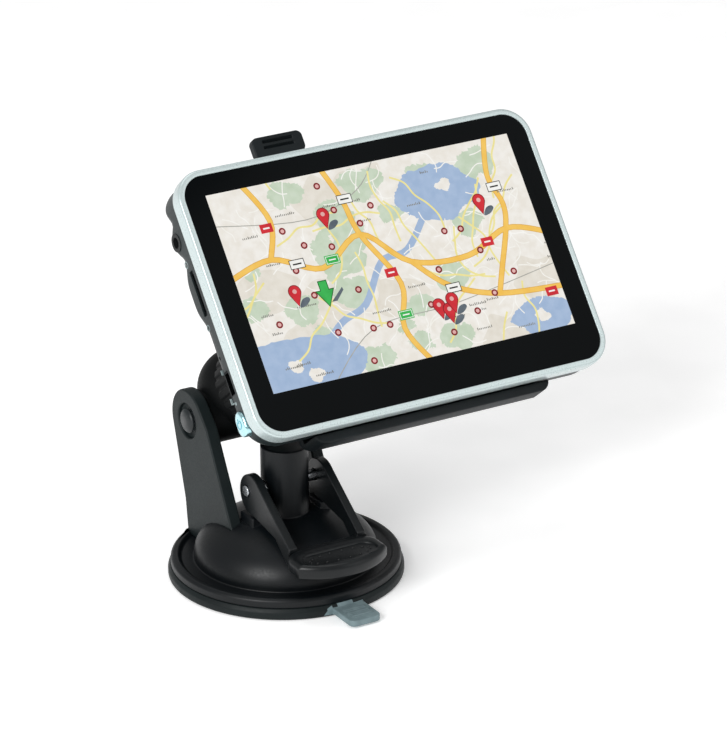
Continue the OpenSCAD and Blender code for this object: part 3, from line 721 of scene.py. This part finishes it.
def rear_housing():
    """Rear shell: sides that swell over the corner, the earphone socket and the card slot, and roll into a flat back."""
    bm = bmesh.new()
    path = rounded_path(SHELL_W, SHELL_H, 9.9, 18, 60)
    steps = 8

    def surface(inset, back):
        rows = [[bm.verts.new(DEVICE @ Vector((x - nx * inset, SHELL_FRONT, z - nz * inset))) for x, z, nx, nz in path]]
        for k in range(steps + 1):
            a = math.radians(90 * k / steps)
            row = []
            for x, z, nx, nz in path:
                full = swell(x, z)
                roll, turn_in = 6.4 - 4.6 * full, 6.4 - 4.0 * full
                step_in = inset + turn_in * (1 - math.cos(a))
                row.append(bm.verts.new(DEVICE @ Vector((x - nx * step_in, back - roll * (1 - math.sin(a)),
                                                         z - nz * step_in))))
            rows.append(row)
        return rows

    outer, inner = surface(0.0, SHELL_BACK), surface(WALL, SHELL_BACK - WALL)
    loops_to_solid(bm, outer[::-1] + inner)
    shell = build("rear_housing", bm, [shell_abs], 32)
    cuts = bmesh.new()
    prism(cuts, oblong(JACK, 5.8, 5.8, 2.899), SIDE - 1, SIDE + 6, True)
    prism(cuts, oblong(CARD, 2.4, 14.8, 0.4), SIDE - 1, SIDE + 6, True)
    prism(cuts, oblong(USB, 4.0, 8.0, 0.6), SIDE - 1, SIDE + 6, True)
    prism(cuts, oblong(RESET, 1.2, 1.2, 0.599), SIDE - 1, SIDE + 6, True)
    prism(cuts, oblong(KEY, 6.3, 8.3, 3.149), SIDE - 2, SIDE + 6, True)
    speaker = DEVICE.inverted() @ middle("speaker")
    for k in range(-3, 4):
        prism(cuts, oblong((speaker.x, speaker.z + 2.2 * k), 14, 1, 0.45), 12.0, 17.0, False)
    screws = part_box("housing_screws")
    for x in (screws[0].x / MM + 2.3, screws[1].x / MM - 2.3):
        for z in (-33.5, 33.5):
            prism(cuts, oblong((x - (DEVICE.translation.x / MM), z), 4.8, 4.8, 2.399), 12.0, 17.0, False)
    return cut_away(shell, build("cutter", cuts, []))


def side_marks():
    """Small printed rings and bars beside the sockets, no letters."""
    bm = bmesh.new()
    for depth, z, r in ((10.4, 17.9, 1.15), (10.1, -2.9, 1.05)):
        place = DEVICE @ Matrix.Translation((SIDE, depth, z)) @ Matrix.Rotation(math.radians(-90), 4, "Y")
        turned(bm, [(r - 0.3, -0.2), (r - 0.3, 0.03), (r, 0.03), (r, -0.2)], place, 24)
    for depth, z, w, h in ((11.7, -17.0, 0.3, 1.6), (11.9, -26.4, 0.3, 2.0), (10.6, -27.4, 1.6, 0.3), (9.0, -27.9, 0.9, 0.9)):
        prism(bm, oblong((depth, z), w, h, 0.12, 3), SIDE + 0.6, SIDE - 0.03, True)
    return build("side_marks", bm, [mark_ink])


def power_key():
    """Oval key with a crowned face."""
    bm = bmesh.new()
    rows = []
    for grow, x in ((0.0, 2.2), (0.0, -0.25), (-0.12, -0.5), (-0.45, -0.74), (-1.1, -0.92), (-2.0, -1.02), (-2.6, -1.05)):
        rows.append([bm.verts.new(DEVICE @ Vector((SIDE + x, KEY[0] + a + na * grow, KEY[1] + b + nb * grow)))
                     for a, b, na, nb in rounded_path(6.0, 8.0, 2.999, 12, 2)])
    loops_to_solid(bm, rows)
    return build("power_key_oval", bm, [tinted_chrome], 40)


def power_sign():
    """The common on-off sign: a ring open at the top with an upright bar."""
    bm = bmesh.new()
    rows = []
    for k in range(25):
        a = math.radians(125 + 290 * k / 24)
        rows.append([bm.verts.new(DEVICE @ Vector((SIDE + x, KEY[0] + r * math.cos(a), KEY[1] + r * math.sin(a))))
                     for r, x in ((1.15, -0.8), (1.15, -1.09), (1.5, -1.06), (1.5, -0.8))])
    loops_to_solid(bm, rows)
    prism(bm, oblong((KEY[0], KEY[1] + 1.1), 0.34, 1.5, 0.1, 3), SIDE - 0.8, SIDE - 1.12, True)
    return build("power_sign", bm, [sign_ink])


# Pad-printed pale grey-green ink
mark_ink = moulded_plastic("pad_printed_ink", ("#7d8b8c", "#8f9d9e"), 0.5, 0.3, 0.002)
# Deep teal lacquer of the key's sign
sign_ink = moulded_plastic("teal_lacquer", ("#3f93a6", "#55a9ba"), 0.3, 0.3, 0.002, sheen=0.5)

dress(rear_housing(), "navigator", "shell_plastic", "rear_shell")
dress(side_marks(), "navigator", "shell_plastic")
dress(power_key(), "power_key", "button_chrome", "power_button")
dress(power_sign(), "power_key", "button_chrome")

# ------------------------------------------------------------------ studio

floor_mesh = bmesh.new()
bmesh.ops.create_grid(floor_mesh, x_segments=2, y_segments=2, size=6)
floor = build("floor", floor_mesh, [])
floor.location = (0, 0, -0.0002)
pale, tree, place = start_material("painted_floor")
speck = put(tree, "TexNoise", {"Scale": 40.0, "Detail": 2.0}, {"Vector": (place, "Object")})
tone = ramp(tree, 0.4, 0.6, ("#fbfbfb", "#ffffff"), (speck, "Fac"))
end_material(tree, put(tree, "BsdfPrincipled", {"Roughness": 0.6, "Specular IOR Level": 0.1, "Emission Color": (1, 1, 1, 1),
                                           "Emission Strength": 0.28},
                       {"Base Color": (tone, "Color")}))
floor.data.materials.append(pale)

world = bpy.data.worlds.new("studio")
bpy.context.scene.world = world
world.use_nodes = True
world.node_tree.nodes["Background"].inputs["Color"].default_value = (1, 1, 1, 1)
world.node_tree.nodes["Background"].inputs["Strength"].default_value = 0.4
bpy.context.scene.view_settings.view_transform = "Standard"


def softbox(name, place, aim, size, power):
    light = bpy.data.lights.new(name, "AREA")
    light.shape = "SQUARE"
    light.size = size
    light.energy = power
    lamp = bpy.data.objects.new(name, light)
    lamp.location = place
    lamp.rotation_euler = (Vector(aim) - Vector(place)).to_track_quat("-Z", "Y").to_euler()
    bpy.context.scene.collection.objects.link(lamp)
    return lamp


softbox("key", (-1.05, -0.6, 0.8), (0, 0, 0.05), 0.6, 14)
softbox("fill", (0.8, -0.9, 0.8), (0, 0, 0.08), 0.9, 2.5)
softbox("top", (0.1, 0.3, 1.3), (0, 0, 0.05), 0.8, 3.5)

lens_side = Vector((-554.4, -995.1, 538.5)) * MM
camera = bpy.data.cameras.new("camera")
camera.lens = 199.9
camera.sensor_fit = "VERTICAL"
camera.sensor_height = 36
camera.clip_end = 50
view = bpy.data.objects.new("camera", camera)
across = Vector((0.8609, -0.5086, -0.0091)).normalized()
ahead = Vector((0.4671, 0.7975, -0.3819)).normalized()
upward = across.cross(ahead).normalized()
view.matrix_world = Matrix.Translation(lens_side) @ Matrix((across, upward, -ahead)).transposed().to_4x4()
bpy.context.scene.collection.objects.link(view)
bpy.context.scene.camera = view
